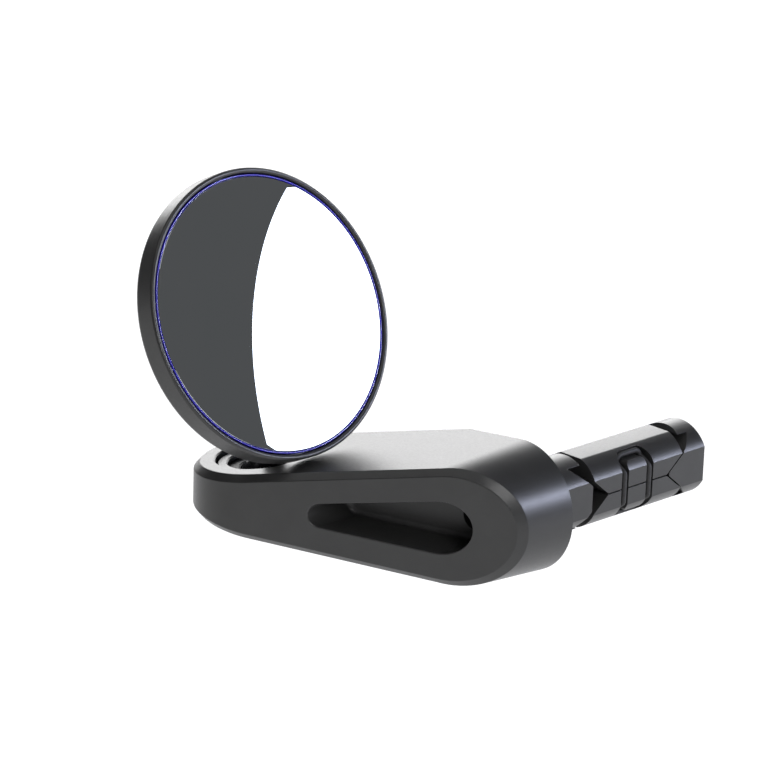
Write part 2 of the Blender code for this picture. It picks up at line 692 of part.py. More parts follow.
def build_nut(look):
    nut = add_object("wedge_nut", prism(hexagon(NUT_FLATS), nut_start(), nut_start() + NUT_THICKNESS,
                                        along_y), look)
    inner = BOLT_RADIUS + 0.15 * MM
    hole = [(0, 40 * MM), (inner, 40 * MM), (inner, 50 * MM), (0, 50 * MM)]
    boolean(nut, add_object("cut_nut_hole", turned(hole, SMALL_ROUND, y_frame())))
    return nut


def main():
    clear_scene()
    anodised = material("black_anodised", (0.035, 0.035, 0.037), 0.38, 0.9)
    steel = material("steel", (0.55, 0.55, 0.56), 0.3, 1.0)
    blackened = material("blackened_steel", (0.05, 0.05, 0.05), 0.35, 1.0)
    nylon = material("black_nylon", (0.02, 0.02, 0.02), 0.5, 0.0)
    rubber = material("black_rubber", (0.015, 0.015, 0.015), 0.7, 0.0)
    silver = material("mirror_silver", (0.85, 0.9, 0.92), 0.02, 1.0)
    blue = material("blue_bead", (0.02, 0.01, 0.25), 0.3, 0.0)
    foam = material("foam", (0.1, 0.1, 0.1), 0.9, 0.0)

    build_arm(anodised)
    build_locating_pins(steel)
    build_retaining_ring(anodised)
    build_upper_cup(nylon)
    build_lower_cup(nylon)
    build_preload_spring(steel)
    build_ball_stud(blackened)
    build_stud_washer("stud_spring_washer", 0, steel)
    build_stud_washer("stud_friction_washer", 1, nylon)
    build_mirror_housing(anodised)
    build_backing_pad(foam)
    build_glass(silver)
    build_edge_ring(blue)
    build_near_wedge(anodised)
    build_jaw("upper_jaw", 1, anodised)
    build_jaw("lower_jaw", -1, anodised)
    build_far_wedge(anodised)
    build_band("right_band", 1, rubber)
    build_band("left_band", -1, rubber)
    build_bolt(blackened)
    build_bolt_washer(steel)
    build_nut(steel)


main()
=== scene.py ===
"""Looks of the bar-end bicycle mirror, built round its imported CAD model.

Frame: origin on the expander plug's axis at the arm's seat, +Y into the handlebar, +Z up,
+X towards the rider.  Metres.
"""

import json
import math

import bmesh
import bpy
from mathutils import Matrix, Vector


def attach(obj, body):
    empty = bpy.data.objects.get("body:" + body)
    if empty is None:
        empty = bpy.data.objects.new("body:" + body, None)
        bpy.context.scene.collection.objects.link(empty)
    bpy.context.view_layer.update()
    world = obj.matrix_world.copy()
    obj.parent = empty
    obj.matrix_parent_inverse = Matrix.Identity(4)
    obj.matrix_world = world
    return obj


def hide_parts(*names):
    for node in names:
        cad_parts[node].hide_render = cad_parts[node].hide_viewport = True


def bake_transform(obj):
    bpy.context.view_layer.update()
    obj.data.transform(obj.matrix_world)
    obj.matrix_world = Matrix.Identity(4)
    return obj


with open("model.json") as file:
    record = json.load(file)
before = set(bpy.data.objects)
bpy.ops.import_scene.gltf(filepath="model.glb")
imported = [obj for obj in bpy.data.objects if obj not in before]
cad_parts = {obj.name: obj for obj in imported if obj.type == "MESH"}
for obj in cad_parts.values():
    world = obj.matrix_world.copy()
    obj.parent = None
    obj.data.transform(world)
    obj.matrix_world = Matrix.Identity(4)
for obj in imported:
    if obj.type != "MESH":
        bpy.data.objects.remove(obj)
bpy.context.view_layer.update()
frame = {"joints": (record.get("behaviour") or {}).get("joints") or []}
JOINTS = {joint["name"]: joint for joint in frame["joints"]}

MM = 0.001
GAP = 0.3 * MM
ROUND = 192                         # sides of a large round piece
SMALL_ROUND = 72
KNURL_SIDES = 240
FILLET = 0.15 * MM                  # ordinary rounding of a machined edge
SMOOTH_ANGLE = math.radians(24)

# Arm
SEAT_RADIUS = 14.1 * MM
FLARE = 0.063
FRONT_DISTANCE = 22.85 * MM
PLAN_ANGLE = math.radians(34.24)
TAPER = math.radians(6.8)
BODY_WIDTH = 29.4 * MM
ARM_CHAMFER = 1.35 * MM
OVERSIZE = 80 * MM
POCKET_RADIUS = 5.64 * MM
POCKET_SHIFT = -1.3 * MM
POCKET_LENGTH = 20.3 * MM
POCKET_TAPER = math.radians(8.5)
POCKET_DEPTH = 12 * MM

# Ball joint
BALL_RADIUS = 4.8 * MM
COUNTERBORE_RADIUS = 9.75 * MM
RING_OUTER = 9.45 * MM
RING_INNER = 7.2 * MM
RING_RECESS = 0.9 * MM
RING_THICKNESS = 1.0 * MM
CUP_BORE = 8.0 * MM
CUP_OUTER = 7.7 * MM
CUP_WALL = 0.8 * MM
CUP_CONE = 2.9 * MM
CUP_CONE_DEPTH = 2.4 * MM
SPRING_THICKNESS = 0.4 * MM
SPRING_INNER = 2.6 * MM
SPRING_OUTER = 5.1 * MM
SPANNER_SLOT = 1.2 * MM
SLOT_ANGLE = math.radians(330)
NECK_RADIUS = 2.6 * MM
NECK_END = 10.0 * MM
PIN_RADIUS = 2.0 * MM
PIN_END = 15.0 * MM
WASHER_THICKNESS = 0.5 * MM
WASHER_RADIUS = 3.4 * MM

# Mirror head
BOSS_RADIUS = 5.0 * MM
HEAD_ANGLE = math.radians(25.4)
HEAD_YAW = math.radians(-1.24)
HEAD_RISE = 32.0 * MM
HEAD_REACH = 17.05 * MM
HEAD_RADIUS = 30.9 * MM
HEAD_DEPTH = 5.9 * MM
LIP_RADIUS = 29.7 * MM
BACK_WALL = 2.0 * MM
GLASS_RADIUS = 28.95 * MM
GLASS_THICKNESS = 1.8 * MM
GLASS_CURVE = 600 * MM
BEAD_WIDTH = 0.35 * MM
HEAD_CORNER = 1.3 * MM
PAD_RADIUS = 27.5 * MM
PAD_THICKNESS = 1.0 * MM

# Expander plug
PLUG_RADIUS = 8.17 * MM
SIDE_FLAT = 7.2 * MM
TOP_FLAT = 7.7 * MM
WEDGE_SLOPE = 0.8
PRONG_HEIGHT = 7.0 * MM
NEAR_TIP = 13.3 * MM
NEAR_APEX = 16.9 * MM
NEAR_PRONG = 12.0 * MM
JAW_START = 13.75 * MM
JAW_END = 41.3 * MM
JAW_NEAR_APEX = 18.4 * MM
JAW_FAR_APEX = 36.4 * MM
FAR_TIP = 37.4 * MM
FAR_APEX = 36.9 * MM
FAR_PRONG = 42.75 * MM
FAR_PRONG_SLANT = 0.7 * MM
PLUG_END = 48.5 * MM
BAND_NEAR = 23.35 * MM
BAND_FAR = 31.05 * MM
BAND_HEIGHT = 6.4 * MM
BAND_RADIUS = 0.65 * MM
BAND_GROOVE = 2.1 * MM
BAND_END_GROOVE = 1.7 * MM
BAND_STRAIGHT = 3.0 * MM
BAND_DIP_END = 5.4 * MM
BAND_OUT = 6.8 * MM
BAND_IN = 3.9 * MM
GROOVE_FLOOR = 3.05 * MM
BLOCK = 12 * MM                     # overrun of the plug's side profiles above its surface
OVERRUN = 2 * MM                    # and of its section past its two ends
BAND_CORNER = 1.9 * MM
GROOVE_CORNER = 2.4 * MM
ISLAND_CORNER = 0.9 * MM
BAND_STEP = 0.3 * MM

# Bolt, nut and pins
BOLT_RADIUS = 2.0 * MM
BOLT_HEAD_RADIUS = 3.5 * MM
BOLT_HEAD_HEIGHT = 4.0 * MM
HEX_SOCKET = 1.5 * MM
BOLT_SEAT = -7.5 * MM
BOLT_WASHER_RADIUS = 3.8 * MM
BOLT_WASHER_THICKNESS = 0.8 * MM
COUNTERSINK_RADIUS = 4.2 * MM
BOLT_HOLE = 2.3 * MM
CHANNEL_RADIUS = 2.5 * MM
BOLT_END = 47.9 * MM
THREAD_START = 16 * MM
THREAD_PITCH = 0.7 * MM
THREAD_DEPTH = 0.4 * MM
NUT_FLATS = 3.5 * MM
NUT_THICKNESS = 3.2 * MM
LOCATING_PIN_RADIUS = 1.0 * MM
LOCATING_PIN_OFFSET = 5.3 * MM
LOCATING_PIN_HALF = 3.0 * MM

# Working directions and places
SWEEP = Vector((math.cos(PLAN_ANGLE), math.sin(PLAN_ANGLE), 0))
FACING = Vector((math.sin(PLAN_ANGLE), -math.cos(PLAN_ANGLE), 0))
FRONT_POINT = Vector((0, -FRONT_DISTANCE, 0))
BALL = Vector(JOINTS["head_swivel"]["pos_m"])
SOCKET_AXIS = Vector(JOINTS["head_swivel"]["axis"])
STUD_AXIS = Vector(JOINTS["head_turn"]["axis"])
HEAD_TURN = Matrix.Rotation(HEAD_YAW, 3, "Z")
HEAD_NORMAL = HEAD_TURN @ Vector((math.cos(HEAD_ANGLE), 0, math.sin(HEAD_ANGLE)))
HEAD_UP = HEAD_TURN @ Vector((-math.sin(HEAD_ANGLE), 0, math.cos(HEAD_ANGLE)))
HEAD_CENTRE = BALL + HEAD_UP * HEAD_RISE + HEAD_NORMAL * HEAD_REACH

# Camera and studio
CAMERA_AZIMUTH = math.radians(45.05)
CAMERA_ELEVATION = math.radians(18.6)
CAMERA_ROLL = math.radians(1.92)
CAMERA_DISTANCE = 833.3 * MM
CAMERA_LENS = 187.5
AIM = Vector((-25.96, -16.49, 23.12)) * MM
FLOOR_HEIGHT = -120 * MM
STAGE_RADIUS = 6.0
BACKDROP_HEIGHT = 6.0


# ---------------------------------------------------------------- mesh helpers

def frame_at(point, axis):
    """Matrix with local +Z along the axis and the origin at the point."""
    turn = Vector((0, 0, 1)).rotation_difference(axis).to_matrix().to_4x4()
    return Matrix.Translation(point) @ turn


def y_frame(x=0.0):
    """Local +Z along +Y, for pieces turned about the plug's axis."""
    return Matrix.Translation((x, 0, 0)) @ Matrix.Rotation(-math.pi / 2, 4, "X")


def head_frame():
    """Local +Z out of the glass, local +Y up its face, origin at the rim plane's centre."""
    across = HEAD_UP.cross(HEAD_NORMAL)
    turn = Matrix((across, HEAD_UP, HEAD_NORMAL)).transposed().to_4x4()
    return Matrix.Translation(HEAD_CENTRE) @ turn


def arc(centre, radius, start, end, steps):
    turns = [start + (end - start) * i / steps for i in range(steps + 1)]
    return [(centre[0] + radius * math.cos(t), centre[1] + radius * math.sin(t)) for t in turns]


def soften(points, radius=FILLET, closed=False, steps=3):
    """Round the corners of a profile; an open one keeps its two ends."""
    rounded = []
    for i, corner in enumerate(points):
        if not closed and i in (0, len(points) - 1):
            rounded.append(corner)
            continue
        here = Vector(corner)
        back = Vector(points[i - 1]) - here
        ahead = Vector(points[(i + 1) % len(points)]) - here
        reach = radius / math.tan(back.angle(ahead) / 2)
        reach = min(reach, 0.45 * back.length, 0.45 * ahead.length)
        start = here + back.normalized() * reach
        end = here + ahead.normalized() * reach
        for step in range(steps + 1):
            t = step / steps
            point = start * (1 - t) ** 2 + here * 2 * t * (1 - t) + end * t * t
            rounded.append((point.x, point.y))
    return rounded


def bridge(bm, low, high):
    """Quads between two loops of vertices; a loop of one vertex makes a fan."""
    count = max(len(low), len(high))
    for i in range(count):
        after = (i + 1) % count
        corners = [low[i % len(low)], low[after % len(low)], high[after % len(high)], high[i % len(high)]]
        bm.faces.new(list(dict.fromkeys(corners)))


def turned(profile, sides=ROUND, place=Matrix.Identity(4), closed=False, wave=None):
    """Spin (radius, height) points about local Z; wave lifts a point by its angle."""
    bm = bmesh.new()
    rows = []
    for radius, height in profile:
        count = 1 if radius < 1e-9 else sides
        row = []
        for step in range(count):
            angle = 2 * math.pi * step / sides
            lift = wave(angle, radius) if wave else 0.0
            local = Vector((radius * math.cos(angle), radius * math.sin(angle), height + lift))
            row.append(bm.verts.new(place @ local))
        rows.append(row)
    for low, high in zip(rows, rows[1:]):
        bridge(bm, low, high)
    if closed:
        bridge(bm, rows[-1], rows[0])
    return bm


def stack(outlines):
    """Skin a list of closed outlines, each a list of points, and cap both ends."""
    bm = bmesh.new()
    loops = [[bm.verts.new(point) for point in outline] for outline in outlines]
    for low, high in zip(loops, loops[1:]):
        bridge(bm, low, high)
    bm.faces.new(loops[0])
    bm.faces.new(loops[-1])
    return bm


def prism(outline, start, end, place=lambda u, v, w: (u, v, w)):
    """Extrude a closed (u, v) outline from start to end, placed by a function of u, v, w."""
    return stack([[place(u, v, w) for u, v in outline] for w in (start, end)])


def along_y(u, v, w):
    return (u, w, v)


def along_x(u, v, w):
    return (w, u, v)


def rough_object(name, bm):
    bmesh.ops.recalc_face_normals(bm, faces=bm.faces)
    mesh = bpy.data.meshes.new(name)
    bm.to_mesh(mesh)
    bm.free()
    made = bpy.data.objects.new(name, mesh)
    bpy.context.scene.collection.objects.link(made)
    return made


def evaluated_bmesh(target):
    graph = bpy.context.evaluated_depsgraph_get()
    mesh = bpy.data.meshes.new_from_object(target.evaluated_get(graph))
    bm = bmesh.new()
    bm.from_mesh(mesh)
    bpy.data.meshes.remove(mesh)
    return bm


def carved(bm, *tools):
    """Apply exact Booleans, each given as (operation, bmesh), and return the result."""
    target = rough_object("carving", bm)
    guides = []
    for operation, tool in tools:
        guide = rough_object("tool", tool)
        guides.append(guide)
        modifier = target.modifiers.new("carve", "BOOLEAN")
        modifier.operation = operation
        modifier.object = guide
    result = evaluated_bmesh(target)
    for used in guides + [target]:
        bpy.data.objects.remove(used, do_unlink=True)
    bmesh.ops.remove_doubles(result, verts=result.verts, dist=0.002 * MM)
    return result


def corner_edges(bm, angle, limit=None):
    """Edges sharper than an angle; limit is a test that an edge must also pass."""
    bm.normal_update()
    found = [edge for edge in bm.edges if len(edge.link_faces) == 2 and edge.calc_face_angle(0) > angle]
    return [edge for edge in found if limit is None or limit(edge)]


def bevel(bm, edges, width, segments):
    bmesh.ops.bevel(bm, geom=edges, offset=width, offset_type="OFFSET", segments=segments,
                    profile=0.5, affect="EDGES", clamp_overlap=True)


def piece(name, bm, look, body, nodes):
    """Finish a mesh as a named piece that rides on a body and stands for its CAD nodes."""
    made = rough_object(name, bm)
    made.data.materials.append(look)
    made.data.shade_smooth()
    made.data.set_sharp_from_angle(angle=SMOOTH_ANGLE)
    weighted = made.modifiers.new("flat faces stay flat", "WEIGHTED_NORMAL")
    weighted.keep_sharp = True
    if isinstance(body, str):
        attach(made, body)
    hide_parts(*nodes)
    return made


# ---------------------------------------------------------------- materials

class Shader:
    """A Principled material with a small kit for procedural detail in object space."""

    def __init__(self, name, roughness, metallic=0.0):
        self.material = bpy.data.materials.new(name)
        self.material.use_nodes = True
        self.tree = self.material.node_tree
        self.principled = self.tree.nodes["Principled BSDF"]
        self.set("Roughness", roughness)
        self.set("Metallic", metallic)
        coordinates = self.tree.nodes.new("ShaderNodeTexCoord")
        self.place = coordinates.outputs["Object"]

    def set(self, socket, value):
        self.principled.inputs[socket].default_value = value

    def link(self, source, target):
        self.tree.links.new(source, target)

    def noise(self, size, detail=2.0, stretch=(1, 1, 1)):
        """Noise whose features are about one size across, in metres."""
        mapping = self.tree.nodes.new("ShaderNodeMapping")
        mapping.inputs["Scale"].default_value = [part / size for part in stretch]
        texture = self.tree.nodes.new("ShaderNodeTexNoise")
        texture.inputs["Scale"].default_value = 1.0
        texture.inputs["Detail"].default_value = detail
        self.link(self.place, mapping.inputs["Vector"])
        self.link(mapping.outputs["Vector"], texture.inputs["Vector"])
        return texture.outputs["Fac"]

    def ramp(self, source, low, high, start=0.3, end=0.7):
        """Turn a grey source into a range of colours or of values."""
        ramp = self.tree.nodes.new("ShaderNodeMapRange")
        ramp.inputs["From Min"].default_value = start
        ramp.inputs["From Max"].default_value = end
        self.link(source, ramp.inputs["Value"])
        if not isinstance(low, tuple):
            ramp.inputs["To Min"].default_value = low
            ramp.inputs["To Max"].default_value = high
            return ramp.outputs["Result"]
        mix = self.tree.nodes.new("ShaderNodeMix")
        mix.data_type = "RGBA"
        self.link(ramp.outputs["Result"], mix.inputs["Factor"])
        for socket in mix.inputs:
            if socket.type == "RGBA":
                colour = low if socket.name == "A" else high
                socket.default_value = (*colour, 1.0)
        return next(out for out in mix.outputs if out.type == "RGBA")

    def colour(self, source, low, high, start=0.3, end=0.7):
        self.link(self.ramp(source, low, high, start, end), self.principled.inputs["Base Color"])

    def roughness(self, source, low, high):
        self.link(self.ramp(source, low, high), self.principled.inputs["Roughness"])

    def relief(self, source, height, edge=0.0):
        """Bump of a given height; edge rounds the corners in the shading by that radius."""
        bump = self.tree.nodes.new("ShaderNodeBump")
        bump.inputs["Strength"].default_value = 1.0
        bump.inputs["Distance"].default_value = height
        self.link(source, bump.inputs["Height"])
        if edge:
            rounding = self.tree.nodes.new("ShaderNodeBevel")
            rounding.samples = 4
            rounding.inputs["Radius"].default_value = edge
            self.link(rounding.outputs["Normal"], bump.inputs["Normal"])
        self.link(bump.outputs["Normal"], self.principled.inputs["Normal"])


def anodised_look(name, roughness, edge=0.0):
    """Black anodised aluminium: bead-blasted grain, faint cloudiness in the dye."""
    look = Shader(name, roughness)
    look.colour(look.noise(7 * MM, 3.0), (0.024, 0.024, 0.024), (0.030, 0.030, 0.030))
    look.roughness(look.noise(0.5 * MM, 4.0), roughness - 0.03, roughness + 0.03)
    look.relief(look.noise(0.09 * MM, 2.0), 0.004 * MM, edge)
    look.set("IOR", 1.5)
    return look.material


def steel_look(name, colour, roughness, edge=0.0):
    """Turned steel with fine brushing and slight stains."""
    look = Shader(name, roughness, 1.0)
    lighter = tuple(min(1.0, part * 1.15) for part in colour)
    look.colour(look.noise(1.5 * MM, 4.0), colour, lighter)
    look.roughness(look.noise(0.2 * MM, 3.0), roughness - 0.06, roughness + 0.08)
    look.relief(look.noise(0.06 * MM, 2.0, (1, 0.1, 1)), 0.001 * MM, edge)
    return look.material


def nylon_look():
    look = Shader("moulded_nylon", 0.5)
    look.colour(look.noise(2 * MM), (0.012, 0.012, 0.012), (0.02, 0.02, 0.02))
    look.roughness(look.noise(0.3 * MM, 4.0), 0.42, 0.58)
    look.relief(look.noise(0.15 * MM, 3.0), 0.004 * MM)
    return look.material


def rubber_look():
    look = Shader("band_rubber", 0.6)
    look.colour(look.noise(1 * MM, 4.0), (0.012, 0.012, 0.012), (0.02, 0.02, 0.021))
    look.roughness(look.noise(0.25 * MM, 4.0), 0.5, 0.68)
    look.relief(look.noise(0.12 * MM, 3.0), 0.006 * MM)
    return look.material


def foam_look():
    look = Shader("closed_cell_foam", 0.9)
    look.colour(look.noise(0.3 * MM, 2.0), (0.04, 0.04, 0.04), (0.09, 0.09, 0.09))
    look.relief(look.noise(0.25 * MM, 3.0), 0.06 * MM)
    return look.material


def mirror_look():
    """Silvered glass, clean but for the faintest uneven polish."""
    look = Shader("silvered_glass", 0.0, 1.0)
    look.colour(look.noise(12 * MM), (0.93, 0.985, 0.99), (0.95, 0.995, 1.0))
    look.roughness(look.noise(6 * MM, 3.0), 0.0, 0.008)
    return look.material


def bead_look():
    look = Shader("blue_sealing_bead", 0.22)
    look.colour(look.noise(0.8 * MM, 2.0), (0.012, 0.008, 0.30), (0.03, 0.02, 0.50))
    look.relief(look.noise(0.4 * MM, 2.0), 0.008 * MM)
    look.set("Coat Weight", 0.6)
    return look.material


# ---------------------------------------------------------------- arm

def side_outline(radius):
    """Teardrop of the arm seen along the plug's axis: a big arc and two tapering sides."""
    quarter = math.pi / 2 + TAPER
    outline = arc((0, 0), radius, -quarter, quarter, 96)
    height = (radius - OVERSIZE * math.sin(TAPER)) / math.cos(TAPER)
    return outline + [(-OVERSIZE, height), (-OVERSIZE, -height)]


def plan_outline():
    """The arm seen from above: seat, swept back face, round ball end, front face."""
    right = 20 * MM
    front_right = FRONT_POINT + SWEEP * right / SWEEP.x
    seat_corner = (FRONT_DISTANCE * SWEEP.x - BODY_WIDTH) / SWEEP.y
    back = math.atan2(-FACING.y, -FACING.x)
    outline = [(front_right.x, front_right.y), (right, 0), (seat_corner, 0)]
    return outline + arc((BALL.x, BALL.y), BODY_WIDTH / 2, back, back + math.pi, 72)


def arm_blank():
    """The side and plan prisms crossed, chamfered, then every edge rounded a little."""
    side = stack([[(x, y, z) for x, z in side_outline(SEAT_RADIUS + FLARE * y)]
                  for y in (2 * MM, -OVERSIZE)])
    blank = carved(side, ("INTERSECT", prism(plan_outline(), -OVERSIZE, OVERSIZE)))

    def off_the_seat(edge):
        return min(vertex.co.y for vertex in edge.verts) < -0.01 * MM

    bevel(blank, corner_edges(blank, math.radians(25), off_the_seat), ARM_CHAMFER, 1)
    bevel(blank, corner_edges(blank, math.radians(12)), FILLET, 3)
    return blank


def pocket_outline(growth, depth):
    """Teardrop of the key pocket, grown outwards and set at a depth below the front face."""
    big = POCKET_RADIUS + growth
    small = big - POCKET_LENGTH * math.sin(POCKET_TAPER)
    tangent = math.pi / 2 + POCKET_TAPER
    outline = arc((POCKET_SHIFT, 0), big, -tangent, tangent, 48)
    outline += arc((POCKET_SHIFT - POCKET_LENGTH, 0), small, tangent, 2 * math.pi - tangent, 36)
    return [(x, -FRONT_DISTANCE + math.tan(PLAN_ANGLE) * x + depth, z) for x, z in outline]


def pocket_cutter():
    """Pocket with a rounded mouth and a rounded floor."""
    mouth = 0.28 * MM
    foot = 1.0 * MM
    quarter = [math.pi / 2 * i / 5 for i in range(6)]
    rows = [(mouth, -OVERSIZE / 4)]
    rows += [(mouth - mouth * math.sin(t), mouth - mouth * math.cos(t)) for t in quarter]
    rows += [(foot * math.cos(t) - foot, POCKET_DEPTH - foot + foot * math.sin(t)) for t in quarter]
    return stack([pocket_outline(growth, depth) for growth, depth in rows])


def top_face_height():
    """Distance from the ball's centre to the arm's top face, along the socket's axis."""
    top = (SEAT_RADIUS + FLARE * BALL.y + BALL.x * math.sin(TAPER)) / math.cos(TAPER)
    return (top - BALL.z) * SOCKET_AXIS.z


def socket_floor():
    return -(BALL_RADIUS + GAP + CUP_WALL + GAP + SPRING_THICKNESS)


def socket_cutter():
    """Stepped socket with a small chamfer at its mouth."""
    face = top_face_height()
    chamfer = 0.25 * MM
    step = face - RING_RECESS - RING_THICKNESS - GAP
    profile = [(0, face + 5 * MM), (COUNTERBORE_RADIUS + chamfer, face + 5 * MM),
               (COUNTERBORE_RADIUS + chamfer, face), (COUNTERBORE_RADIUS, face - chamfer),
               (COUNTERBORE_RADIUS, step), (CUP_BORE, step), (CUP_BORE, -CUP_CONE_DEPTH),
               (CUP_BORE - CUP_CONE, socket_floor()), (0, socket_floor())]
    return turned(profile, ROUND, frame_at(BALL, SOCKET_AXIS))


def bolt_hole_cutter():
    far = -20 * MM
    profile = [(0, far), (COUNTERSINK_RADIUS, far), (COUNTERSINK_RADIUS, BOLT_SEAT),
               (BOLT_HOLE, BOLT_SEAT), (BOLT_HOLE, 2 * MM), (0, 2 * MM)]
    return turned(profile, SMALL_ROUND, y_frame())


def pin_solid(side, radius, half, fillet=0.0):
    profile = [(0, -half), (radius, -half), (radius, half), (0, half)]
    if fillet:
        profile = soften(profile, fillet)
    return turned(profile, 48, y_frame(side * LOCATING_PIN_OFFSET))


def pin_holes():
    return [("DIFFERENCE", pin_solid(side, LOCATING_PIN_RADIUS + 0.2 * MM, LOCATING_PIN_HALF + GAP))
            for side in (-1, 1)]


def make_arm(look):
    arm = carved(arm_blank(), ("DIFFERENCE", pocket_cutter()), ("DIFFERENCE", socket_cutter()),
                 ("DIFFERENCE", bolt_hole_cutter()), *pin_holes())
    return piece("swept_arm", arm, look, "arm", ["arm_body"])


# ---------------------------------------------------------------- ball joint

def make_retaining_ring(look):
    """Ring with softened edges, a stepped inner mouth and two spanner slots."""
    top = top_face_height() - RING_RECESS
    bottom = top - RING_THICKNESS
    chamfer = 0.35 * MM
    profile = [(RING_INNER, bottom), (RING_OUTER, bottom), (RING_OUTER, top - chamfer),
               (RING_OUTER - chamfer, top), (RING_INNER + chamfer, top), (RING_INNER, top - chamfer)]
    place = frame_at(BALL, SOCKET_AXIS)
    ring = turned(soften(profile, 0.06 * MM, closed=True), ROUND, place, closed=True)
    reach = 20 * MM
    half = SPANNER_SLOT / 2
    slot = [(-reach, -half), (reach, -half), (reach, half), (-reach, half)]
    turn = place @ Matrix.Rotation(SLOT_ANGLE, 4, "Z")
    cutter = prism(slot, top - 0.8 * MM, top + 2 * MM, lambda u, v, w: turn @ Vector((u, v, w)))
    piece("slotted_ring", carved(ring, ("DIFFERENCE", cutter)), look, "arm", ["retaining_ring"])


def cup_curve(start, end, steps=16):
    return arc((0, 0), BALL_RADIUS + GAP, start, end, steps)


def make_cups(look):
    place = frame_at(BALL, SOCKET_AXIS)
    radius = BALL_RADIUS + GAP
    bottom = -(radius + CUP_WALL)
    inner = cup_curve(0.5 - math.pi / 2, -0.02)
    outer = [(CUP_OUTER, inner[-1][1]), (CUP_OUTER, -CUP_CONE_DEPTH - 0.2 * MM),
             (CUP_OUTER - CUP_CONE, bottom), (inner[0][0], bottom)]
    lower = turned(inner + outer, SMALL_ROUND, place, closed=True)
    piece("lower_ball_cup", lower, look, "cups", ["lower_cup"])

    top = top_face_height() - RING_RECESS - RING_THICKNESS - GAP
    inner = cup_curve(GAP / radius, math.asin((top - 0.4 * MM) / radius))
    mouth = inner[-1][0]
    outer = [(mouth + 0.4 * MM, top), (CUP_OUTER, top), (CUP_OUTER, inner[0][1])]
    upper = turned(inner + outer, SMALL_ROUND, place, closed=True)
    piece("upper_ball_cup", upper, look, "cups", ["upper_cup"])


def wave_washer(inner, outer, middle, thickness, rise, place, waves=3):
    """Spring washer that rises and falls round its circle."""
    profile = [(inner, middle - thickness / 2), (outer, middle - thickness / 2),
               (outer, middle + thickness / 2), (inner, middle + thickness / 2)]
    return turned(soften(profile, thickness * 0.3, closed=True), SMALL_ROUND, place, closed=True,
                  wave=lambda angle, radius: rise * math.cos(waves * angle))


def make_springs(look):
    low = socket_floor() + 0.1 * MM
    high = low + SPRING_THICKNESS - 0.1 * MM
    spring = wave_washer(SPRING_INNER, SPRING_OUTER, (low + high) / 2, 0.16 * MM, 0.06 * MM,
                         frame_at(BALL, SOCKET_AXIS))
    piece("preload_wave_spring", spring, look, "arm", ["preload_spring"])
    middle = NECK_END + GAP + WASHER_THICKNESS / 2
    spring = wave_washer(PIN_RADIUS + GAP, WASHER_RADIUS, middle, 0.25 * MM, 0.1 * MM,
                         frame_at(BALL, STUD_AXIS))
    piece("stud_wave_washer", spring, look, "ball", ["stud_spring_washer"])


def make_stud(steel, nylon):
    blend = math.asin(NECK_RADIUS / BALL_RADIUS)
    ball = [(BALL_RADIUS * math.sin(t), BALL_RADIUS * math.cos(t))
            for t in (math.pi - (math.pi - blend) * i / 40 for i in range(41))]
    ball[0] = (0, -BALL_RADIUS)
    hollow = 0.35 * MM
    waist = [(NECK_RADIUS - hollow, ball[-1][1] + 0.7 * MM), (NECK_RADIUS - hollow, NECK_END - 2.2 * MM),
             (NECK_RADIUS, NECK_END - 1.8 * MM)]
    edge = 0.3 * MM
    shoulder = [(NECK_RADIUS, NECK_END - edge), (NECK_RADIUS - edge, NECK_END), (PIN_RADIUS, NECK_END),
                (PIN_RADIUS, PIN_END - edge), (PIN_RADIUS - edge, PIN_END), (0, PIN_END)]
    stud = turned(ball + soften([ball[-1]] + waist + shoulder, 0.12 * MM)[1:], SMALL_ROUND,
                  frame_at(BALL, STUD_AXIS))
    piece("ball_and_stud", stud, steel, "ball", ["ball_stud"])
    low = NECK_END + GAP + WASHER_THICKNESS + GAP
    profile = [(PIN_RADIUS + GAP, low), (WASHER_RADIUS, low), (WASHER_RADIUS, low + WASHER_THICKNESS),
               (PIN_RADIUS + GAP, low + WASHER_THICKNESS)]
    washer = turned(soften(profile, 0.1 * MM, closed=True), SMALL_ROUND, frame_at(BALL, STUD_AXIS),
                    closed=True)
    piece("stud_nylon_washer", washer, nylon, "ball", ["stud_friction_washer"])


# ---------------------------------------------------------------- mirror head

def glass_height(radius):
    return (GLASS_RADIUS ** 2 - radius ** 2) / (2 * GLASS_CURVE) - 0.45 * MM


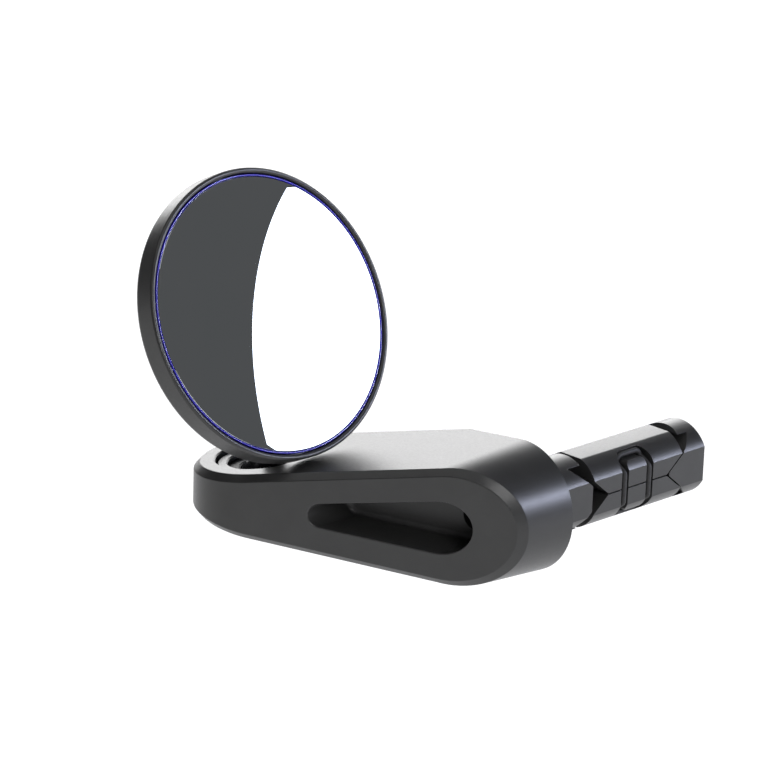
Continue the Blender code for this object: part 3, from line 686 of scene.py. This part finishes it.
def make_housing(look):
    """Round shell with a rounded rim, and the boss that turns on the stud's pin."""
    floor = BACK_WALL - HEAD_DEPTH
    middle = (HEAD_RADIUS + LIP_RADIUS) / 2
    lip = (HEAD_RADIUS - LIP_RADIUS) / 2
    profile = [(0, floor), (LIP_RADIUS, floor)] + arc((middle, -lip), lip, math.pi, 0, 14)
    profile += arc((HEAD_RADIUS - HEAD_CORNER, HEAD_CORNER - HEAD_DEPTH), HEAD_CORNER, 0, -math.pi / 2, 10)
    profile += [(0, -HEAD_DEPTH)]
    shell = turned(profile, ROUND, head_frame())

    start = NECK_END + GAP + 2 * (WASHER_THICKNESS + GAP)
    edge = 0.5 * MM
    boss = soften([(0, start), (BOSS_RADIUS - edge, start), (BOSS_RADIUS, start + edge),
                   (BOSS_RADIUS, 30 * MM), (0, 30 * MM)], 0.12 * MM)
    reach = OVERSIZE
    square = [(-reach, -reach), (reach, -reach), (reach, reach), (-reach, reach)]
    inside = prism(square, floor - 0.4 * MM, reach, lambda u, v, w: head_frame() @ Vector((u, v, w)))
    boss = carved(turned(boss, SMALL_ROUND, frame_at(BALL, STUD_AXIS)), ("DIFFERENCE", inside))
    bore = [(0, start - 5 * MM), (PIN_RADIUS + GAP, start - 5 * MM),
            (PIN_RADIUS + GAP, PIN_END + GAP), (0, PIN_END + GAP)]
    bore = turned(bore, SMALL_ROUND, frame_at(BALL, STUD_AXIS))
    shell = carved(shell, ("UNION", boss), ("DIFFERENCE", bore))
    piece("mirror_shell", shell, look, "head", ["mirror_housing"])


def make_glass(look):
    rings = 28
    front = [(GLASS_RADIUS * i / rings, glass_height(GLASS_RADIUS * i / rings)) for i in range(rings + 1)]
    edge = front[-1]
    rim = soften([front[-2], edge, (edge[0], edge[1] - GLASS_THICKNESS), (0, edge[1] - GLASS_THICKNESS)],
                 0.12 * MM)
    glass = turned(front[:-1] + rim[1:], ROUND, head_frame())
    piece("convex_glass", glass, look, "head", ["mirror_glass"])


def make_bead(look):
    """Blue bead with a domed top that seals the glass in the rim."""
    inner = GLASS_RADIUS + 0.15 * MM
    outer = inner + BEAD_WIDTH
    middle = (inner + outer) / 2
    top = glass_height(GLASS_RADIUS) + 0.1 * MM
    dome = arc((middle, top - BEAD_WIDTH / 2), BEAD_WIDTH / 2, 0, math.pi, 8)
    profile = [(inner, top - 2 * MM), (outer, top - 2 * MM)] + dome
    bead = turned(profile, ROUND, head_frame(), closed=True)
    piece("blue_glass_bead", bead, look, "head", ["glass_edge_bead"])


def make_pad(look):
    low = BACK_WALL - HEAD_DEPTH + 0.15 * MM
    profile = [(0, low), (PAD_RADIUS, low), (PAD_RADIUS, low + PAD_THICKNESS), (0, low + PAD_THICKNESS)]
    pad = turned(soften(profile, 0.2 * MM), ROUND, head_frame())
    made = piece("foam_backing_disc", pad, look, "head", ["backing_pad"])


# ---------------------------------------------------------------- expander plug

def plug_section(flats):
    """Round section with flats, given as (direction angle, distance from the axis)."""
    spans = []
    for centre, distance in sorted(flats):
        half = math.acos(distance / PLUG_RADIUS)
        spans.append((centre - half, centre + half))
    outline = []
    for i, (_, end) in enumerate(spans):
        start = spans[(i + 1) % len(spans)][0]
        if start < end:
            start += 2 * math.pi
        steps = max(4, round((start - end) / math.radians(2.5)))
        outline += arc((0, 0), PLUG_RADIUS, end, start, steps)
    return outline


SIDES = [(0.0, SIDE_FLAT), (math.pi, SIDE_FLAT)]
TOPS = [(math.pi / 2, TOP_FLAT), (-math.pi / 2, TOP_FLAT)]


def plug_piece(section, profile, channel, *more):
    """Section run along the axis, crossed with a side profile, then bored for the bolt."""
    start, end = -OVERRUN, PLUG_END + OVERRUN
    solid = prism(plug_section(section), start, end, along_y)
    shape = prism(profile, -20 * MM, 20 * MM, along_x)
    hole = [(0, start), (channel, start), (channel, end), (0, end)]
    return carved(solid, ("INTERSECT", shape), ("DIFFERENCE", turned(hole, SMALL_ROUND, y_frame())),
                  *more)


def mirrored(half):
    return half + [(y, -z) for y, z in reversed(half)]


def make_near_wedge(look):
    groove = NEAR_APEX - PRONG_HEIGHT / WEDGE_SLOPE
    nose = (NEAR_APEX - NEAR_TIP) * WEDGE_SLOPE
    half = [(GAP, BLOCK), (NEAR_PRONG, BLOCK), (NEAR_PRONG, PRONG_HEIGHT), (groove, PRONG_HEIGHT),
            (NEAR_TIP, nose)]
    wedge = plug_piece(SIDES, mirrored(half), BOLT_HOLE, *pin_holes())
    piece("seat_wedge", wedge, look, "arm", ["near_wedge"])


def hexagon(half_flats):
    return arc((0, 0), half_flats / math.cos(math.pi / 6), 0, 2 * math.pi * 5 / 6, 5)


def nut_start():
    return PLUG_END - NUT_THICKNESS - GAP


def make_far_wedge(look):
    groove = FAR_APEX + PRONG_HEIGHT / WEDGE_SLOPE
    nose = (FAR_TIP - FAR_APEX) * WEDGE_SLOPE
    slant = (BLOCK - PRONG_HEIGHT) * FAR_PRONG_SLANT / (PLUG_RADIUS - PRONG_HEIGHT)
    half = [(PLUG_END, BLOCK), (FAR_PRONG + slant, BLOCK), (FAR_PRONG, PRONG_HEIGHT),
            (groove, PRONG_HEIGHT), (FAR_TIP, nose)]
    pocket = prism(hexagon(NUT_FLATS + GAP), nut_start() - GAP, PLUG_END + OVERRUN, along_y)
    wedge = plug_piece(SIDES, mirrored(half), BOLT_HOLE, ("DIFFERENCE", pocket))
    piece("end_wedge", wedge, look, "far_wedge", ["far_wedge"])


def rounded_box(low, high, radius, steps=10):
    """Outline of a rectangle with round corners, from two opposite corners."""
    corners = [(high[0] - radius, high[1] - radius), (low[0] + radius, high[1] - radius),
               (low[0] + radius, low[1] + radius), (high[0] - radius, low[1] + radius)]
    outline = []
    for quarter, centre in enumerate(corners):
        start = quarter * math.pi / 2
        outline += arc(centre, radius, start, start + math.pi / 2, steps)
    return outline


def band_cutter(side):
    """Racetrack groove for a rubber band, cut in from one side of the plug."""
    half, end = BAND_GROOVE / 2, BAND_END_GROOVE / 2
    outer = rounded_box((BAND_NEAR - half, -BAND_HEIGHT - end), (BAND_FAR + half, BAND_HEIGHT + end),
                        GROOVE_CORNER)
    inner = rounded_box((BAND_NEAR + half, -BAND_HEIGHT + end), (BAND_FAR - half, BAND_HEIGHT - end),
                        ISLAND_CORNER)
    floor, top = side * GROOVE_FLOOR, side * BLOCK
    bm = bmesh.new()
    loops = [[bm.verts.new((x, y, z)) for y, z in ring]
             for x, ring in ((floor, outer), (top, outer), (top, inner), (floor, inner))]
    for i, low in enumerate(loops):
        bridge(bm, low, loops[(i + 1) % 4])
    return bm


def make_jaw(name, node, way, look):
    """One half of the gripping sleeve; way is +1 for the upper jaw and -1 for the lower."""
    split = GAP / 2
    near_open = (JAW_NEAR_APEX - JAW_START) * WEDGE_SLOPE
    far_open = (JAW_END - JAW_FAR_APEX) * WEDGE_SLOPE
    half = [(JAW_START, BLOCK), (JAW_START, near_open), (JAW_NEAR_APEX - split / WEDGE_SLOPE, split),
            (JAW_FAR_APEX + split / WEDGE_SLOPE, split), (JAW_END, far_open), (JAW_END, BLOCK)]
    profile = [(y, way * z) for y, z in half]
    grooves = [("DIFFERENCE", band_cutter(side)) for side in (-1, 1)]
    jaw = plug_piece(SIDES + TOPS, profile, CHANNEL_RADIUS, *grooves)
    piece(name, jaw, look, node, [node])


def band_route(side):
    """Centre line of a rubber band: a racetrack that dips inwards at its two ends."""
    outline = rounded_box((BAND_NEAR, -BAND_HEIGHT), (BAND_FAR, BAND_HEIGHT), BAND_CORNER)
    filled = []
    for (y0, z0), (y1, z1) in zip(outline, outline[1:] + outline[:1]):
        parts = max(1, round(math.hypot(y1 - y0, z1 - z0) / BAND_STEP))
        filled += [(y0 + (y1 - y0) * i / parts, z0 + (z1 - z0) * i / parts) for i in range(parts)]
    route = []
    for y, z in filled:
        tuck = min(1.0, max(0.0, (abs(z) - BAND_STRAIGHT) / (BAND_DIP_END - BAND_STRAIGHT)))
        x = BAND_OUT + (BAND_IN - BAND_OUT) * tuck * tuck * (3 - 2 * tuck)
        route.append(Vector((side * x, y, z)))
    return route


def make_band(name, node, side, look):
    """Rubber band swept round its route, stretching between the two jaws."""
    route = band_route(side)
    bm = bmesh.new()
    out = Vector((side, 0, 0))
    sections = []
    for i, point in enumerate(route):
        ahead = (route[(i + 1) % len(route)] - route[i - 1]).normalized()
        across = ahead.cross(out).normalized()
        lift = across.cross(ahead).normalized()
        turns = [2 * math.pi * k / 20 for k in range(20)]
        sections.append([bm.verts.new(point + (across * math.cos(t) + lift * math.sin(t)) * BAND_RADIUS)
                         for t in turns])
    for i, section in enumerate(sections):
        bridge(bm, section, sections[(i + 1) % len(sections)])
    band = piece(name, bm, look, None, [node])
    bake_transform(band)


# ---------------------------------------------------------------- bolt, nut and pins

def knurl(angle, count=40, depth=0.035):
    """Share of a knurled cylinder's radius that is left at an angle."""
    return 1 - depth * (0.5 - 0.5 * math.cos(count * angle))


def threaded_shank(start, end):
    """Screw thread as one helical surface, fading out over a pitch at each end."""
    sides = 36
    rows = round((end - start) / (THREAD_PITCH / 7))
    bm = bmesh.new()
    loops = []
    for row in range(rows + 1):
        height = start + (end - start) * row / rows
        taper = min(1.0, (height - start) / THREAD_PITCH, (end - height) / THREAD_PITCH)
        loop = []
        for step in range(sides):
            angle = 2 * math.pi * step / sides
            phase = (height / THREAD_PITCH - step / sides) % 1.0
            groove = min(1.0, 2.2 * min(phase, 1 - phase))
            radius = BOLT_RADIUS - THREAD_DEPTH * groove * max(0.0, taper)
            loop.append(bm.verts.new((radius * math.cos(angle), height, radius * math.sin(angle))))
        loops.append(loop)
    for low, high in zip(loops, loops[1:]):
        bridge(bm, low, high)
    bm.faces.new(loops[0])
    bm.faces.new(loops[-1])
    return bm


def make_bolt(look):
    """Cap screw: knurled head, hexagon socket, and a real thread on the shank's far end."""
    seat = BOLT_SEAT - GAP - BOLT_WASHER_THICKNESS - GAP
    front = seat - BOLT_HEAD_HEIGHT
    edge = 0.4 * MM
    profile = soften([(0, front), (BOLT_HEAD_RADIUS - edge, front), (BOLT_HEAD_RADIUS, front + edge),
                      (BOLT_HEAD_RADIUS, seat), (BOLT_RADIUS, seat), (BOLT_RADIUS, THREAD_START),
                      (0, THREAD_START)], 0.1 * MM)
    bolt = turned(profile, KNURL_SIDES, y_frame())
    for vertex in bolt.verts:
        radius = math.hypot(vertex.co.x, vertex.co.z)
        if radius > BOLT_HEAD_RADIUS - 0.5 * edge and vertex.co.y > front + edge:
            scale = knurl(math.atan2(vertex.co.z, vertex.co.x))
            vertex.co.x *= scale
            vertex.co.z *= scale
    socket = prism(hexagon(HEX_SOCKET), front - 1 * MM, front + 2.2 * MM, along_y)
    mouth = turned([(0, front - 1 * MM), (HEX_SOCKET + 1.35 * MM, front - 1 * MM),
                    (HEX_SOCKET + 0.05 * MM, front + 0.3 * MM), (0, front + 0.3 * MM)],
                   SMALL_ROUND, y_frame())
    bolt = carved(bolt, ("DIFFERENCE", socket), ("DIFFERENCE", mouth))
    piece("cap_screw", bolt, look, "bolt", ["expander_bolt"])
    piece("cap_screw_thread", threaded_shank(THREAD_START, BOLT_END), look, "bolt", [])


def make_bolt_washer(look):
    high = BOLT_SEAT - GAP
    low = high - BOLT_WASHER_THICKNESS
    inner = BOLT_RADIUS + 0.2 * MM
    profile = [(inner, low), (BOLT_WASHER_RADIUS, low), (BOLT_WASHER_RADIUS, high), (inner, high)]
    washer = turned(soften(profile, 0.12 * MM, closed=True), SMALL_ROUND, y_frame(), closed=True)
    piece("bolt_flat_washer", washer, look, "arm", ["bolt_washer"])


def make_nut(look):
    """Hexagon nut with turned corners and a chamfered hole."""
    start, end = nut_start(), nut_start() + NUT_THICKNESS
    corner = NUT_FLATS / math.cos(math.pi / 6)
    edge = 0.45 * MM
    barrel = turned([(0, start), (NUT_FLATS, start), (corner, start + edge), (corner, end - edge),
                     (NUT_FLATS, end), (0, end)], SMALL_ROUND, y_frame())
    inner = BOLT_RADIUS + 0.15 * MM
    lead = 0.35 * MM
    hole = turned([(0, start - lead), (inner + lead, start - lead), (inner + lead, start),
                   (inner, start + lead), (inner, end - lead), (inner + lead, end),
                   (inner + lead, end + lead), (0, end + lead)], SMALL_ROUND, y_frame())
    nut = carved(prism(hexagon(NUT_FLATS), start, end, along_y), ("INTERSECT", barrel),
                 ("DIFFERENCE", hole))
    piece("hex_nut", nut, look, "far_wedge", ["wedge_nut"])


def make_locating_pins(look):
    for name, node, side in (("pin_left", "left_locating_pin", -1), ("pin_right", "right_locating_pin", 1)):
        pin = pin_solid(side, LOCATING_PIN_RADIUS, LOCATING_PIN_HALF, 0.25 * MM)
        piece(name, pin, look, "arm", [node])


# ---------------------------------------------------------------- studio

def look_along(back, up):
    """Rotation whose local +Z is back and whose +Y is as near up as it can be."""
    right = up.cross(back).normalized()
    return Matrix((right, back.cross(right), back)).transposed().to_4x4()


def make_camera():
    level = math.cos(CAMERA_ELEVATION)
    back = Vector((math.sin(CAMERA_AZIMUTH) * level, -math.cos(CAMERA_AZIMUTH) * level,
                   math.sin(CAMERA_ELEVATION)))
    data = bpy.data.cameras.new("camera")
    data.sensor_width = 36.0
    data.lens = CAMERA_LENS
    data.clip_start = 10 * MM
    camera = bpy.data.objects.new("camera", data)
    bpy.context.scene.collection.objects.link(camera)
    roll = Matrix.Rotation(CAMERA_ROLL, 4, "Z")
    camera.matrix_world = (Matrix.Translation(AIM + back * CAMERA_DISTANCE)
                           @ look_along(back, Vector((0, 0, 1))) @ roll)
    bpy.context.scene.camera = camera


def softbox(name, centre, size, radiance, colour=(1, 1, 1), shape="RECTANGLE"):
    """Area light that faces the object; radiance is what a mirror would see."""
    light = bpy.data.lights.new(name, "AREA")
    light.shape = shape
    light.size, light.size_y = size
    area = size[0] * size[1]
    if shape in ("DISK", "ELLIPSE"):
        area *= math.pi / 4
    light.energy = radiance * math.pi * area
    light.color = colour
    made = bpy.data.objects.new(name, light)
    bpy.context.scene.collection.objects.link(made)
    centre = Vector(centre)
    made.matrix_world = Matrix.Translation(centre) @ look_along(centre.normalized(), Vector((0, 0, 1)))
    made.visible_camera = False
    return made


def glowing(name, strength):
    """Plain white surface that glows evenly."""
    made = bpy.data.materials.new(name)
    made.use_nodes = True
    shader = made.node_tree.nodes["Principled BSDF"]
    shader.inputs["Base Color"].default_value = (0.5, 0.5, 0.5, 1.0)
    shader.inputs["Roughness"].default_value = 1.0
    shader.inputs["Specular IOR Level"].default_value = 0.0
    shader.inputs["Emission Color"].default_value = (1, 1, 1, 1)
    shader.inputs["Emission Strength"].default_value = strength
    return made


def make_floor():
    rim = (STAGE_RADIUS, FLOOR_HEIGHT)
    floor = rough_object("floor", turned([(0, FLOOR_HEIGHT), rim], SMALL_ROUND))
    floor.data.materials.append(glowing("pale_floor", 0.66))
    wall = rough_object("backdrop", turned([rim, (STAGE_RADIUS, BACKDROP_HEIGHT)], SMALL_ROUND))
    wall.data.materials.append(glowing("pale_backdrop", 1.0))
    wall.visible_glossy = False
    wall.visible_diffuse = False


def make_world():
    world = bpy.data.worlds.new("studio")
    world.use_nodes = True
    background = world.node_tree.nodes["Background"]
    background.inputs["Color"].default_value = (0.075, 0.075, 0.078, 1.0)
    bpy.context.scene.world = world


def make_studio():
    """The round softbox and its bright centre show in the mirror; the back panel, on the arm's top."""
    make_world()
    make_floor()
    softbox("round_softbox", (0.846, 1.053, 0.338), (0.70, 0.70), 3.0, (0.80, 0.84, 1.0), "DISK")
    softbox("softbox_centre", (0.925, 0.893, 0.443), (0.17, 0.14), 95.0, (0.74, 0.79, 1.0))
    softbox("back_panel", (-1.05, 0.97, 0.43), (1.7, 0.8), 4.7)
    softbox("right_panel", (1.15, -0.42, 0.72), (0.5, 0.5), 7.0)
    softbox("top_panel", (0.0, -0.2, 1.6), (1.6, 1.6), 0.8)
    fill = softbox("front_fill", (0.9, -1.3, 0.6), (1.8, 1.8), 0.3)
    fill.visible_glossy = False


# ---------------------------------------------------------------- everything

def main():
    satin = anodised_look("black_anodised_arm", 0.34)
    shell = anodised_look("black_anodised_shell", 0.34)
    crisp = anodised_look("black_anodised_plug", 0.33, edge=0.1 * MM)
    steel = steel_look("stainless_steel", (0.5, 0.5, 0.51), 0.3)
    blackened = steel_look("blackened_steel", (0.035, 0.035, 0.037), 0.28)
    nylon = nylon_look()
    rubber = rubber_look()

    make_arm(satin)
    make_retaining_ring(satin)
    make_cups(nylon)
    make_springs(steel)
    make_stud(blackened, nylon)
    make_housing(shell)
    make_glass(mirror_look())
    make_bead(bead_look())
    make_pad(foam_look())
    make_near_wedge(crisp)
    make_jaw("grip_jaw_upper", "upper_jaw", 1, crisp)
    make_jaw("grip_jaw_lower", "lower_jaw", -1, crisp)
    make_far_wedge(crisp)
    make_band("rubber_band_right", "right_band", 1, rubber)
    make_band("rubber_band_left", "left_band", -1, rubber)
    make_bolt(blackened)
    make_bolt_washer(steel)
    make_nut(steel)
    make_locating_pins(steel)
    make_studio()
    make_camera()
    bpy.context.scene.view_settings.view_transform = "Standard"


main()
